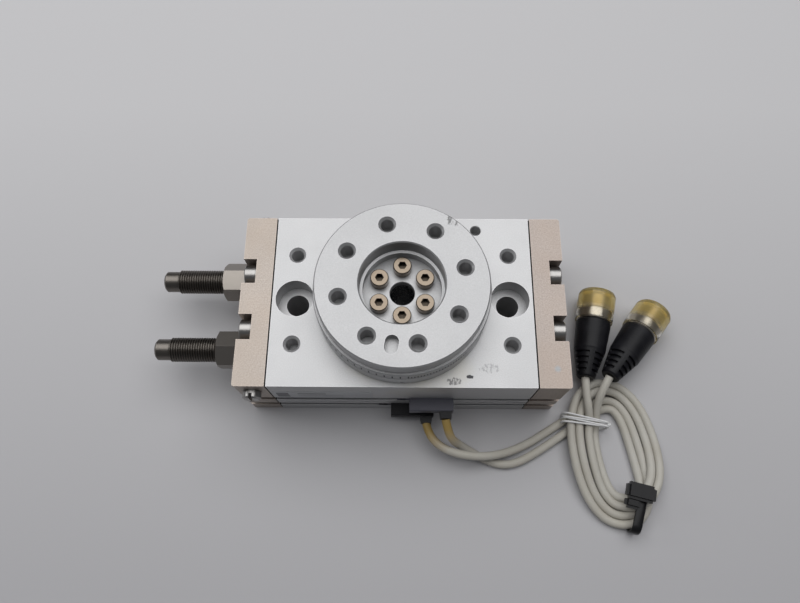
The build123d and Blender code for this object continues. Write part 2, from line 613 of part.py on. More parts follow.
with BuildPart() as switch_screws:
    for label, x_end, z in SWITCHES:
        x = x_end - SWITCH_LONG + SCREW_FROM_END
        with Locations((x, FRONT + 2.0, z)):
            Cylinder(1.25, 3.4, rotation=(90, 0, 0))
        block((x - 1.3, FRONT + 0.3, z - 0.25), (x + 1.3, FRONT + 0.9, z + 0.25), Mode.SUBTRACT)
save(switch_screws, "switch_screws")

with BuildPart() as switch_boots:
    for label, x_end, z in SWITCHES:
        x = x_end - BOOT_FROM_END
        root = Plane((x, FRONT - CASE_OUT, z), x_dir=(1, 0, 0), z_dir=(0, -1, 0))
        with BuildSketch(root):
            Rectangle(4.9, 4.3)
        with BuildSketch(root.offset(BOOT_OUT)):
            Rectangle(4.3, 3.9)
        loft()
save(switch_boots, "switch_boots")

# ---- round plug connectors ---------------------------------------------------------------
PLUG_LONG = 39.5
CAP_R = 8.0
OVERMOULD_LONG = 27.0
OVERMOULD_R = 7.35
STRAIN_R = 3.4          # overmould where the lead enters
NECK_R = 5.2
NUT_BAND_R = 7.2
NUT_BAND = (25.5, 30.2)
NUT_LONG = 37.0
NUT_WALL_R = 5.95
CAP_START = 25.9
CAP_WALL = 1.6
RIB_STEP = 2.4
# label, rear end of the plug in plan, heading, slope down towards the cap (degrees)
PLUGS = (("left", (77.0, -23.4), 76.6, 2.0), ("right", (86.1, -23.7), 52.1, 7.0))


def plug_frame(rear, heading, slope):
    """Start point and direction of a plug whose cap rests on the surface."""
    z = CAP_R * cos(radians(slope)) + PLUG_LONG * sin(radians(slope))
    flat = cos(radians(slope))
    direction = (cos(radians(heading)) * flat, sin(radians(heading)) * flat, -sin(radians(slope)))
    return (rear[0], rear[1], z), direction


def turned(plane, axis, *points):
    """Solid of revolution from (distance along the axis, radius) points."""
    with BuildSketch(plane) as section:
        with BuildLine():
            Polyline(*points, close=True)
        make_face()
    revolve(section.sketch, axis)


for label, rear, heading, slope in PLUGS:
    start, direction = plug_frame(rear, heading, slope)
    sideways = (sin(radians(heading)), -cos(radians(heading)), 0)
    long_plane = Plane(start, x_dir=direction, z_dir=sideways)
    cross_plane = Plane(start, x_dir=sideways, z_dir=direction)
    axis = Axis(start, direction)
    with BuildPart() as overmould:
        turned(long_plane, axis, (0, 0), (0, STRAIN_R), (0.6, STRAIN_R + 0.5), (11.6, 6.4), (12.2, 6.6),
               (24.6, OVERMOULD_R), (25.2, OVERMOULD_R - 0.35), (25.2, NECK_R), (OVERMOULD_LONG, NECK_R),
               (OVERMOULD_LONG, 0))
        for step in range(4):
            s = 1.9 + RIB_STEP * step
            radius = 3.9 + 0.227 * s
            with BuildSketch(cross_plane.offset(s)):
                Circle(radius + 1)
                Circle(radius - 0.85, mode=Mode.SUBTRACT)
                for quarter in (0, 90):
                    Rectangle(2.2, 20, rotation=quarter, mode=Mode.SUBTRACT)
            extrude(amount=1.25, mode=Mode.SUBTRACT)
    save(overmould, f"plug_overmould_{label}")
    with BuildPart() as coupling_nut:
        turned(long_plane, axis, (NUT_BAND[0], 5.6), (NUT_BAND[0], NUT_BAND_R - 0.3),
               (NUT_BAND[0] + 0.3, NUT_BAND_R), (NUT_BAND[1] - 0.3, NUT_BAND_R),
               (NUT_BAND[1], NUT_BAND_R - 0.3), (NUT_BAND[1], NUT_WALL_R), (NUT_LONG - 0.6, NUT_WALL_R),
               (NUT_LONG, NUT_WALL_R - 0.55), (NUT_LONG, 4.9), (27.2, 4.9), (27.2, 5.6))
    save(coupling_nut, f"coupling_nut_{label}")
    with BuildPart() as contact_insert:
        turned(long_plane, axis, (27.1, 0), (27.1, 4.75), (33.0, 4.75), (33.0, 0))
        with BuildSketch(cross_plane.offset(33.0)):
            with PolarLocations(2.5, 4, start_angle=45):
                Circle(0.5)
        extrude(amount=3.4)
    save(contact_insert, f"contact_insert_{label}")
    with BuildPart() as protective_cap:
        turned(long_plane, axis, (CAP_START, NUT_BAND_R + 0.1), (CAP_START, CAP_R - 0.15),
               (CAP_START + 1.1, CAP_R), (PLUG_LONG - CAP_WALL, CAP_R), (PLUG_LONG - 0.5, CAP_R - 0.5),
               (PLUG_LONG, CAP_R - 1.7), (PLUG_LONG, 0), (PLUG_LONG - CAP_WALL, 0),
               (PLUG_LONG - CAP_WALL, NUT_WALL_R + 0.1), (NUT_BAND[1] + 0.4, NUT_WALL_R + 0.1),
               (NUT_BAND[1] + 0.4, NUT_BAND_R + 0.1))
    save(protective_cap, f"protective_cap_{label}")


# ---- switch leads ------------------------------------------------------------------------
def corner_radii(points):
    """Largest arcs that each pair of runs allows: 0.45 of the shorter run over tan(turn / 2)."""
    radii = []
    for before, here, after in zip(points, points[1:], points[2:]):
        first = Vector(here) - Vector(before)
        second = Vector(after) - Vector(here)
        turn = radians(first.get_angle(second))
        radii.append(0.45 * min(first.length, second.length) / tan(turn / 2))
    return radii


# From each switch to the coil: straight out of the boot, down to the surface and across it. The left
# switch's lead passes over the right one's just after the first bend.
LEAD_LEFT = ((9.95, -42.9, 8.6), (11.1, -47.1, 8.8), (14.2, -51.1, 9.2), (19.4, -54.3, 9.6),
             (26.6, -56.0, 9.6), (35.2, -55.9, 7.5), (43.6, -53.8, 4.1), (52.0, -50.2, 2.0),
             (60.5, -45.1, 1.7), (70.0, -39.0, 1.7))
LEAD_RIGHT = ((17.45, -42.9, 18.7), (18.3, -47.0, 17.3), (20.2, -50.2, 13.7), (23.7, -51.4, 7.6),
              (28.6, -53.5, 3.0), (34.4, -56.5, 1.7), (40.4, -58.6, 1.7), (47.0, -58.0, 1.7),
              (53.8, -54.6, 1.7), (61.0, -50.2, 1.7), (70.8, -43.6, 1.7))
# From the coil up to each plug.
plug_left, _ = plug_frame(*PLUGS[0][1:])
plug_right, _ = plug_frame(*PLUGS[1][1:])
TAIL_LEFT = ((78.2, -41.0, 5.0), (77.4, -36.2, 8.3), (76.7, -30.2, 9.5), plug_left)
TAIL_RIGHT = ((81.2, -40.5, 3.3), (81.2, -34.8, 7.4), (82.8, -29.3, 11.4), plug_right)

for name, points in (("lead_left", LEAD_LEFT), ("lead_right", LEAD_RIGHT),
                     ("lead_tail_left", TAIL_LEFT), ("lead_tail_right", TAIL_RIGHT)):
    radii = corner_radii(points)
    with BuildPart() as lead:
        with BuildLine() as route:
            FilletPolyline(*points, radius=radii)
        with BuildSketch(Plane(points[0], z_dir=Vector(points[1]) - Vector(points[0]))):
            Circle(CABLE_R)
        sweep()
    length = route.wire().length
    print(name, "length", round(length, 1), "radii", [round(r, 1) for r in radii],
          "volume ratio", round(lead.part.volume / (pi * CABLE_R ** 2 * length), 4))
    save(lead, name)

# ---- coil of both leads, and its ties ----------------------------------------------------
COIL_OUT = (19.9, 31.0)
COIL_IN = (5.4, 16.7)
WIRE_TIE_PLACE = Location((75.9, -39.9, 0), (0, 0, -10))
WIRE_TIE_SIZE = (17.6, 1.9)
CABLE_TIE_PLACE = Location((96.2, -75.9, 0), (0, 0, 72))
CABLE_TIE_SIZE = (15.2, 3.6)
TIE_THICK = 1.2

with BuildPart() as wire_tie:
    with Locations(WIRE_TIE_PLACE):
        long, wide = WIRE_TIE_SIZE
        Box(long + 2 * TIE_THICK, wide, COIL_TOP + TIE_THICK, align=(MID, MID, MIN))
        with Locations((0, 0, TIE_THICK)):
            Box(long, wide, COIL_TOP - TIE_THICK, align=(MID, MID, MIN), mode=Mode.SUBTRACT)
save(wire_tie, "wire_tie")

with BuildPart() as cable_tie:
    with Locations(CABLE_TIE_PLACE):
        long, wide = CABLE_TIE_SIZE
        Box(long + 2 * TIE_THICK, wide, COIL_TOP + TIE_THICK, align=(MID, MID, MIN))
        with Locations((0, 0, TIE_THICK)):
            Box(long, wide, COIL_TOP - TIE_THICK, align=(MID, MID, MIN), mode=Mode.SUBTRACT)
        with Locations((long / 2 - 1.0, 0, COIL_TOP + TIE_THICK)):
            Box(6.5, 7.2, 4.2, align=(MID, MID, MIN))
save(cable_tie, "cable_tie")

with BuildPart() as cable_coil:
    with BuildSketch():
        with Locations(Location((*COIL_CENTRE, 0), (0, 0, COIL_TILT))):
            Ellipse(*COIL_OUT)
            Ellipse(*COIL_IN, mode=Mode.SUBTRACT)
    extrude(amount=COIL_TOP)
    fillet(cable_coil.faces().sort_by(Axis.Z)[-1].edges(), 1.5)
    add([wire_tie.part, cable_tie.part], mode=Mode.SUBTRACT)
save(cable_coil, "cable_coil")
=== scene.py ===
from math import copysign, cos, pi, radians, sin

import bmesh
import bpy
from mathutils import Matrix, Vector


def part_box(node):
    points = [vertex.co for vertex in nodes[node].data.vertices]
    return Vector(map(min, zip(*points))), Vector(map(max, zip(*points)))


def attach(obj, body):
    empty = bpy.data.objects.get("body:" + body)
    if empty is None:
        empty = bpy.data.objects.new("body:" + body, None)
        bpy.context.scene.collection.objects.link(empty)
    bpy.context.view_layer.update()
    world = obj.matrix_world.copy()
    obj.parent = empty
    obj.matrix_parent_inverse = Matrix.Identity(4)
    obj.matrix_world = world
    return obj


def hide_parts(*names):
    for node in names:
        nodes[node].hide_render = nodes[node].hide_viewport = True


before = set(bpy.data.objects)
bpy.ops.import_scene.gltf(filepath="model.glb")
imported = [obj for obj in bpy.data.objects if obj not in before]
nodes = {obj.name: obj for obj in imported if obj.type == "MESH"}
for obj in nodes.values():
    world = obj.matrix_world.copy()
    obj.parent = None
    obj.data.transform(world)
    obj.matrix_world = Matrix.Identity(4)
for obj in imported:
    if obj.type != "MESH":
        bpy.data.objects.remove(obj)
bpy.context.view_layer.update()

# The looks of a rack-and-pinion rotary table actuator. Everything is in metres in the CAD frame: origin on
# the table's axis at the underside of the body, +X along the bores, +Y to the back and +Z up.

scene = bpy.context.scene
MM = 0.001


def mm(*values):
    """A point given in millimetres, as a vector in metres."""
    return Vector(values) * MM


# ---- camera, floor and light -------------------------------------------------------------------
CAMERA_PLACE = mm(1.81, -89.06, 276.71)
CAMERA_TURN = (20.401, 0.464, 0.512)      # degrees
CAMERA_LENS = 29.2

camera = bpy.data.objects.new("camera", bpy.data.cameras.new("camera"))
scene.collection.objects.link(camera)
camera.location = CAMERA_PLACE
camera.rotation_euler = [radians(angle) for angle in CAMERA_TURN]
camera.data.lens = CAMERA_LENS
camera.data.sensor_width = 36.0
camera.data.clip_start = 0.01
scene.camera = camera

scene.view_settings.view_transform = "Standard"


def light(name, place, target, size, power, color):
    """Soft rectangular light that points at a target."""
    data = bpy.data.lights.new(name, "AREA")
    data.shape = "RECTANGLE"
    data.size, data.size_y = size
    data.energy = power
    data.color = color
    lamp = bpy.data.objects.new(name, data)
    lamp.location = place
    lamp.rotation_euler = (Vector(target) - Vector(place)).to_track_quat("-Z", "Y").to_euler()
    scene.collection.objects.link(lamp)


light("key", place=(0.0, 0.50, 1.10), target=(0.0, 0.50, 0.0), size=(1.8, 1.3), power=16.0,
      color=(1.0, 1.0, 1.0))
light("side", place=(-0.9, 0.25, 0.5), target=(0.0, 0.0, 0.0), size=(0.3, 0.3), power=1.0,
      color=(0.98, 0.99, 1.0))

WORLD_COLOR = (0.78, 0.80, 0.84)
WORLD_STRENGTH = 0.17

world = bpy.data.worlds.new("studio")
scene.world = world
world.use_nodes = True
background = world.node_tree.nodes["Background"]
background.inputs["Color"].default_value = (*WORLD_COLOR, 1)
background.inputs["Strength"].default_value = WORLD_STRENGTH


# ---- materials ---------------------------------------------------------------------------------
class Look:
    """A Principled material and the few node helpers that the materials below share."""

    def __init__(self, name, color, roughness, metallic=0.0, **sockets):
        self.material = bpy.data.materials.new(name)
        self.material.use_nodes = True
        self.tree = self.material.node_tree
        self.shader = self.tree.nodes["Principled BSDF"]
        self.set("Base Color", (*color, 1))
        self.set("Roughness", roughness)
        self.set("Metallic", metallic)
        for socket, value in sockets.items():
            self.set(socket.replace("_", " "), value)
        self.place = self.tree.nodes.new("ShaderNodeTexCoord").outputs["Object"]
        self.base = color       # the colour that later layers are mixed over

    def set(self, socket, value):
        """Set a shader input, or link a node's output to it."""
        if isinstance(value, bpy.types.NodeSocket):
            self.tree.links.new(value, self.shader.inputs[socket])
        else:
            self.shader.inputs[socket].default_value = value

    def node(self, kind, settings=(), **inputs):
        """New node with its settings and inputs; an input is a value or another node's output."""
        made = self.tree.nodes.new("ShaderNode" + kind)
        for key, value in dict(settings).items():
            setattr(made, key, value)
        for key, value in inputs.items():
            socket = made.inputs[int(key[1:])] if key[1:].isdigit() else made.inputs[key.replace("_", " ")]
            if isinstance(value, bpy.types.NodeSocket):
                self.tree.links.new(value, socket)
            else:
                socket.default_value = value
        return made

    def stretched(self, scale):
        """The object's coordinates with each axis scaled."""
        return self.node("Mapping", Vector=self.place, Scale=scale).outputs["Vector"]

    def noise(self, scale, detail=3.0, roughness=0.55, vector=None):
        """Cloudy values round 0.5, with about as many features per metre as the scale."""
        made = self.node("TexNoise", Vector=vector or self.place, Scale=scale, Detail=detail,
                         Roughness=roughness)
        return made.outputs["Fac"]

    def ramp(self, factor, *stops):
        """Colour ramp with (place, colour or grey) stops."""
        made = self.node("ValToRGB", Fac=factor)
        elements = made.color_ramp.elements
        while len(elements) < len(stops):
            elements.new(0.5)
        for element, (place, color) in zip(elements, stops):
            element.position = place
            element.color = (*color, 1) if isinstance(color, tuple) else (color, color, color, 1)
        return made.outputs["Color"]

    def mix(self, factor, first, second, blend="MIX"):
        """Mix two colours."""
        made = self.node("Mix", {"data_type": "RGBA", "blend_type": blend})
        for socket, value in zip((made.inputs["Factor"], made.inputs[6], made.inputs[7]),
                                 (factor, first, second)):
            if isinstance(value, bpy.types.NodeSocket):
                self.tree.links.new(value, socket)
            elif isinstance(value, tuple):
                socket.default_value = (*value, 1)
            else:
                socket.default_value = value
        return made.outputs[2]

    def math(self, operation, first, second=0.0, clamp=False):
        """One step of arithmetic."""
        made = self.node("Math", {"operation": operation, "use_clamp": clamp}, _0=first, _1=second)
        return made.outputs[0]

    def bump(self, height, strength, distance):
        """Relief from a height; the distance is in metres."""
        normal = self.node("Bump", Height=height, Strength=strength, Distance=distance).outputs["Normal"]
        self.set("Normal", normal)

    def axis(self, name, vector=None):
        """One coordinate, X, Y or Z, of the object's coordinates or of another vector."""
        return self.node("SeparateXYZ", Vector=vector or self.place).outputs[name]

    def nearness(self, centre, radius, stretch=(1, 1, 1)):
        """1 at a point and 0 beyond the radius; stretch widens the spot along each axis."""
        scale = [1 / k for k in stretch]
        spot = self.stretched(scale)
        there = Vector([c * k for c, k in zip(centre, scale)])
        away = self.node("VectorMath", {"operation": "DISTANCE"}, _0=spot, _1=there).outputs["Value"]
        return self.ramp(self.math("DIVIDE", away, radius), (0.35, 1.0), (1.0, 0.0))

    def hollows(self, reach):
        """Nearly 1 in corners and sockets narrower than the reach and 0 in the open."""
        shade = self.node("AmbientOcclusion", {"samples": 6}, Distance=reach).outputs["AO"]
        return self.ramp(shade, (0.35, 1.0), (0.9, 0.0))

    def threads(self, radial, pitch=1 * MM):
        """Height of a thread's ridges on upright walls where the radial mask is 1."""
        turn = self.math("FRACT", self.math("DIVIDE", self.axis("Z"), pitch))
        ridge = self.math("ABSOLUTE", self.math("SUBTRACT", turn, 0.5))
        up = self.axis("Z", self.node("NewGeometry").outputs["True Normal"])
        wall = self.math("LESS_THAN", self.math("ABSOLUTE", up), 0.3)
        return self.math("MULTIPLY", self.math("MULTIPLY", ridge, wall), radial)

    def lit_edges(self, radius, low=0.01, high=0.12):
        """1 along the piece's edges and 0 on its faces, from how far a rounded normal leans."""
        rounded = self.node("Bevel", {"samples": 6}, Radius=radius).outputs["Normal"]
        flat = self.node("NewGeometry").outputs["Normal"]
        lean = self.node("VectorMath", {"operation": "DOT_PRODUCT"}, _0=rounded, _1=flat).outputs["Value"]
        away = self.math("SUBTRACT", 1.0, lean)
        return self.ramp(away, (low, 0.0), (high, 1.0))


CLOUD_SCALE = 38.0          # slow changes in a metal's tone, per metre
GRAIN_DEPTH = 0.04 * MM
STREAK_DEPTH = 0.02 * MM
HOLLOW_REACH = 1.2 * MM
EDGE_GLINT_RADIUS = 0.45 * MM
THREAD_RELIEF = 16.0


def grained(name, color, roughness, metallic, grain=0.10, scale=2600.0, bump=0.25, relief=None):
    """Blasted and anodised or plated metal: fine grain, faint clouds in tone and gloss, painted shade in
    hollows and painted highlights along edges.
    """
    look = Look(name, color, roughness, metallic)
    fine = look.noise(scale, 2.0, 0.7)
    cloud = look.noise(CLOUD_SCALE, 4.0, 0.6)
    dark = tuple(c * (1 - grain) for c in color)
    pale = tuple(min(1.0, c * (1 + grain * 0.6)) for c in color)
    speckle = look.ramp(fine, (0.32, dark), (0.68, pale))
    faded = look.ramp(cloud, (0.45, 0.0), (0.80, 0.5))
    look.base = look.mix(faded, speckle, tuple(c * 0.93 for c in color))
    # Painted shade: the colour darkens towards a quarter of itself in hollows and corners, where less light
    # falls.
    look.base = look.mix(look.math("MULTIPLY", look.hollows(HOLLOW_REACH), 0.40), look.base,
                         tuple(c * 0.25 for c in color))
    # Painted highlight: the colour brightens by half along the piece's edges, where light glints.
    shine = look.math("MULTIPLY", look.lit_edges(EDGE_GLINT_RADIUS), 0.7)
    look.base = look.mix(shine, look.base, tuple(min(1.0, c * 1.5) for c in color))
    look.set("Base Color", look.base)
    look.set("Roughness", look.math("ADD", roughness - 0.07, look.math("MULTIPLY", cloud, 0.14)))
    height = look.math("MULTIPLY", fine, bump)
    if relief is not None:
        height = look.math("ADD", height, look.math("MULTIPLY", relief(look), THREAD_RELIEF))
    look.bump(height, 1.0, GRAIN_DEPTH)
    return look


def steel(name, color, roughness, streak=(1.0, 1.0, 1.0), scale=900.0, bump=0.15, hollow_shade=0.8, reach=1.2):
    """Turned or ground metal with streaks along one direction and painted shade in hollows up to the reach in
    mm.
    """
    look = Look(name, color, roughness, 1.0)
    lines = look.noise(scale, 3.0, 0.6, look.stretched(streak))
    cloud = look.noise(70.0, 3.0)
    clean = look.mix(look.math("MULTIPLY", cloud, 0.6), color, tuple(c * 0.78 for c in color))
    # Painted shade: the colour darkens in hollows and sockets up to the reach, where less light falls.
    shaded = look.math("MULTIPLY", look.hollows(reach * MM), hollow_shade)
    look.set("Base Color", look.mix(shaded, clean, tuple(c * 0.12 for c in color)))
    look.set("Roughness", look.math("ADD", roughness - 0.06, look.math("MULTIPLY", lines, 0.14)))
    look.bump(lines, bump, STREAK_DEPTH)
    return look


def plastic(name, color, roughness, scale=1500.0, bump=0.2, **sockets):
    """Moulded plastic or rubber with fine texture, and dust in its colour and gloss."""
    look = Look(name, color, roughness, 0.0, Specular_IOR_Level=0.2, **sockets)
    fine = look.noise(scale, 2.0)
    dust = look.noise(90.0, 5.0, 0.65)
    dusty = tuple(c * 0.9 + 0.008 for c in color)
    look.set("Base Color", look.mix(look.ramp(dust, (0.42, 0.0), (0.75, 1.0)), color, dusty))
    look.set("Roughness", look.math("ADD", roughness - 0.08, look.math("MULTIPLY", dust, 0.18)))
    look.bump(fine, bump, GRAIN_DEPTH)
    return look


def paint(look, *names):
    """Give a look's material to CAD nodes."""
    for name in names:
        for place in nodes[name].material_slots:
            place.material = look.material


SILVER = (0.49, 0.49, 0.495)
MOUNT_X, MOUNT_Y = 42 * MM, 18.5 * MM
BODY_TOP = 40 * MM
TABLE_HOLES_R = 24 * MM
THREAD_REACH = 3.3 * MM
STAIN_PLACE, STAIN_REACH = (4 * MM, -26 * MM, BODY_TOP), 38 * MM
SCUFF_PLACE, SCUFF_REACH = (19.5 * MM, 25.5 * MM, 57.8 * MM), 6.5 * MM
SPOT_PLACE, SPOT_REACH = (58.4 * MM, -27.6 * MM, BODY_TOP), 1.6 * MM
# Pencil marks on the body's top: x, y and reach in mm, the streak value where one starts, and its darkness.
PENCIL_MARKS = ((25.5, -30.9, 2.6, 0.40, 1.0), (19.5, -32.6, 6.5, 0.52, 0.7),
                (33.0, -27.5, 9.0, 0.56, 0.35))


def body_threads(look):
    """Threads in the body's four tapped holes, found in one quadrant by mirroring the coordinates."""
    x = look.math("SUBTRACT", look.math("ABSOLUTE", look.axis("X")), MOUNT_X)
    y = look.math("SUBTRACT", look.math("ABSOLUTE", look.axis("Y")), MOUNT_Y)
    away = look.math("SQRT", look.math("ADD", look.math("MULTIPLY", x, x), look.math("MULTIPLY", y, y)))
    return look.threads(look.math("LESS_THAN", away, THREAD_REACH))


def table_threads(look):
    """Threads in the table's ring of eight tapped holes."""
    flat = look.stretched((1, 1, 0))
    radius = look.node("VectorMath", {"operation": "LENGTH"}, _0=flat).outputs["Value"]
    off = look.math("ABSOLUTE", look.math("SUBTRACT", radius, TABLE_HOLES_R))
    return look.threads(look.math("LESS_THAN", off, THREAD_REACH))


def body_look():
    """Silver anodised block, worn and stained round the table and pencil-marked near the front edge."""
    look = grained("anodised_body", SILVER, 0.46, 0.62, relief=body_threads)
    stain = look.math("MULTIPLY", look.noise(60.0, 4.0),
                      look.nearness(STAIN_PLACE, STAIN_REACH, (1, 0.55, 1)))
    color = look.mix(look.ramp(stain, (0.30, 0.0), (0.62, 0.55)), look.base, (0.50, 0.47, 0.38))
    streaks = look.noise(1300.0, 3.0, 0.7, look.stretched((1.0, 0.45, 1.0)))
    for x, y, reach, low, dark in PENCIL_MARKS:
        near = look.nearness((x * MM, y * MM, BODY_TOP), reach * MM, (1, 0.5, 0.3))
        mark = look.ramp(look.math("MULTIPLY", streaks, near), (low - 0.08, 0.0), (low, dark))
        color = look.mix(mark, color, (0.05, 0.05, 0.055))
    look.set("Base Color", color)
    return look


def table_look():
    """Silver anodised table with scuffs on its rim at the back right."""
    look = grained("anodised_table", (0.41, 0.41, 0.415), 0.40, 0.60, relief=table_threads)
    scratch = look.noise(700.0, 4.0, 0.75, look.stretched((1.0, 0.5, 1.0)))
    near = look.nearness(SCUFF_PLACE, SCUFF_REACH, (1, 1, 0.4))
    mark = look.ramp(look.math("MULTIPLY", scratch, near), (0.46, 0.0), (0.54, 0.8))
    look.set("Base Color", look.mix(mark, look.base, (0.09, 0.09, 0.09)))
    return look


def cover_look(name, color):
    """Pitted warm nickel plating, with a blue-grey spot that falls on the right-hand cover."""
    look = grained(name, color, 0.42, 0.62, grain=0.20, scale=1700.0, bump=0.6)
    blotch = look.ramp(look.noise(30.0, 5.0, 0.6), (0.40, 0.0), (0.75, 0.45))
    stained = look.mix(blotch, look.base, tuple(c * k for c, k in zip(color, (0.95, 0.86, 0.76))))
    spot = look.math("MULTIPLY", look.nearness(SPOT_PLACE, SPOT_REACH), 0.5)
    look.set("Base Color", look.mix(spot, stained, (0.24, 0.31, 0.36)))
    return look


paint(body_look(), "body_block")
paint(grained("anodised_retainer", SILVER, 0.42, 0.70), "bottom_cover", "bearing_retainer")
paint(table_look(), "table")
# Both covers have the same nickel plating: the left one's lighter colour is painted light and the right one's
# darker colour is painted shade.
paint(cover_look("nickel_left_lit", (0.385, 0.34, 0.305)), "end_cover_left")
paint(cover_look("nickel_right_shaded", (0.345, 0.297, 0.268)), "end_cover_right")
# The screws' sockets get deep painted shade from the strong hollow darkening over a 3 mm reach.
paint(steel("screw_nickel", (0.22, 0.18, 0.14), 0.22, hollow_shade=0.98, reach=3.0), "table_screws",
      "retainer_screws", "bottom_cover_screws", "switch_screws")
paint(steel("screw_bright", (0.36, 0.35, 0.34), 0.30), "cover_screws", "port_plugs")
paint(steel("nut_nickel", (0.34, 0.31, 0.28), 0.30, (0.1, 1.0, 1.0)), "lock_nut_front", "lock_nut_back")
paint(steel("gunmetal", (0.17, 0.155, 0.14), 0.34, (1.0, 0.2, 0.2), reach=0.8), "absorber_body_front",
      "absorber_body_back")
paint(steel("ground_steel", (0.50, 0.50, 0.51), 0.25), "pinion_shaft", "rack_piston_front",
      "rack_piston_back", "absorber_rod_front", "absorber_rod_back", "absorber_spring_front",
      "absorber_spring_back", "shaft_retaining_ring", "upper_bearing_outer_race",
      "upper_bearing_inner_race", "upper_bearing_balls", "lower_bearing_outer_race",
      "lower_bearing_inner_race", "lower_bearing_balls")
paint(steel("cage_brass", (0.55, 0.38, 0.14), 0.30), "upper_bearing_cage", "lower_bearing_cage")
paint(plastic("seal_rubber", (0.02, 0.02, 0.02), 0.6), "piston_seals_front", "piston_seals_back",
      "end_gaskets", "piston_magnet_front", "piston_magnet_back")
paint(plastic("wear_plastic", (0.16, 0.24, 0.19), 0.5), "wear_rings_front", "wear_rings_back")
paint(plastic("switch_black", (0.006, 0.006, 0.008), 0.45), "proximity_switch_left")
paint(plastic("boot_black", (0.008, 0.008, 0.010), 0.40), "switch_boots")
# The right-hand switch is the same black part. Its paler grey is partly dust and partly painted sheen on its
# top.
paint(plastic("switch_grey", (0.085, 0.085, 0.105), 0.38), "proximity_switch_right")
paint(plastic("insert_black", (0.010, 0.010, 0.012), 0.45), "contact_insert_left", "contact_insert_right")
paint(steel("plug_nickel", (0.66, 0.61, 0.55), 0.32, hollow_shade=0.4), "coupling_nut_left", "coupling_nut_right")

PLATE_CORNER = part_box("name_plate")[0]
# Dark fields on the plate, in mm from its lower left corner: left, right, bottom and top.
PLATE_FIELDS = ((1.2, 6.0, 1.6, 8.7), (9.5, 20.5, 6.2, 7.6), (9.5, 27.0, 3.0, 3.6))


def plate_look():
    """Brushed silver foil with a blank dark field at its left end and two blank dark rules."""
    look = Look("plate_foil", (0.50, 0.51, 0.53), 0.35, 0.9)
    lines = look.noise(500.0, 3.0, 0.6, look.stretched((0.02, 1.0, 1.0)))
    look.set("Roughness", look.math("ADD", 0.30, look.math("MULTIPLY", lines, 0.2)))
    look.bump(lines, 0.1, STREAK_DEPTH)
    foil = look.ramp(lines, (0.3, (0.40, 0.41, 0.43)), (0.7, (0.50, 0.51, 0.52)))
    fields = 0.0
    for left, right, bottom, top in PLATE_FIELDS:
        inside = 1.0
        for axis, low, high in ((0, left, right), (2, bottom, top)):
            place = look.axis("XYZ"[axis])
            after = look.math("GREATER_THAN", place, PLATE_CORNER[axis] + low * MM)
            before = look.math("LESS_THAN", place, PLATE_CORNER[axis] + high * MM)
            inside = look.math("MULTIPLY", look.math("MULTIPLY", inside, after), before)
        fields = look.math("MAXIMUM", fields, inside)
    look.set("Base Color", look.mix(look.math("MULTIPLY", fields, 0.75), foil, (0.06, 0.06, 0.07)))
    return look


paint(plate_look(), "name_plate")

# ---- floor -------------------------------------------------------------------------------------
FLOOR_HALF = 3.0
# Painted shadow: the floor's colour darkens towards the front, standing in for the shade that falls there.
FLOOR_SHADED_NEAR, FLOOR_FAR = (0.42, 0.415, 0.43), (0.565, 0.56, 0.57)

floor_mesh = bpy.data.meshes.new("floor")
floor_mesh.from_pydata([(-FLOOR_HALF, -FLOOR_HALF, 0), (FLOOR_HALF, -FLOOR_HALF, 0),
                        (FLOOR_HALF, FLOOR_HALF, 0), (-FLOOR_HALF, FLOOR_HALF, 0)], [], [(0, 1, 2, 3)])
floor = bpy.data.objects.new("floor", floor_mesh)
scene.collection.objects.link(floor)
floor_look = Look("paper", (0.56, 0.555, 0.565), 0.75)
floor_look.bump(floor_look.noise(900.0, 2.0), 0.05, 0.1 * MM)
far = floor_look.node("MapRange", Value=floor_look.axis("Y"), From_Min=-0.15, From_Max=0.12)
floor_look.set("Base Color", floor_look.ramp(far.outputs["Result"], (0.0, FLOOR_SHADED_NEAR), (1.0, FLOOR_FAR)))
floor_mesh.materials.append(floor_look.material)

# ---- switch leads ------------------------------------------------------------------------------
CABLE_R = 1.7
PLUG_LONG = 39.5
CAP_R = 8.0
PLUG_HEADING = {"left": 76.6, "right": 52.1}        # degrees from +X
PLUG_SLOPE = {"left": 2.0, "right": 7.0}            # degrees that the rear end is raised
LEAD_LEFT = ((9.95, -42.9, 8.6), (11.1, -47.1, 8.8), (14.2, -51.1, 9.2), (19.4, -54.3, 9.6),
             (26.6, -56.0, 9.6), (35.2, -55.9, 7.5), (43.6, -53.8, 4.1), (52.0, -50.2, 2.0),
             (60.5, -45.1, 1.7), (70.0, -39.0, 1.7), (75.2, -35.6, 1.7), (80.4, -32.6, 1.7))
LEAD_RIGHT = ((17.45, -42.9, 18.7), (18.3, -47.0, 17.3), (20.2, -50.2, 13.7), (23.7, -51.4, 7.6),
              (28.6, -53.5, 3.0), (34.4, -56.5, 1.7), (40.4, -58.6, 1.7), (47.0, -58.0, 1.7),
              (53.8, -54.6, 1.7), (61.0, -50.2, 1.7), (70.8, -43.6, 1.7), (76.0, -40.0, 1.7),
              (80.6, -36.8, 1.7))


def plug_rear(place, slope):
    """Where the lead enters a plug whose cap rests on the surface."""
    return (*place, CAP_R * cos(radians(slope)) + PLUG_LONG * sin(radians(slope)))


TAIL_LEFT = ((78.2, -41.0, 5.0), (77.4, -36.2, 8.3), (76.7, -30.2, 9.5),
             plug_rear((77.0, -23.4), PLUG_SLOPE["left"]))
TAIL_RIGHT = ((81.2, -40.5, 3.3), (81.2, -34.8, 7.4), (82.8, -29.3, 11.4),
              plug_rear((86.1, -23.7), PLUG_SLOPE["right"]))

PLUG_REAR = {"left": TAIL_LEFT[-1], "right": TAIL_RIGHT[-1]}
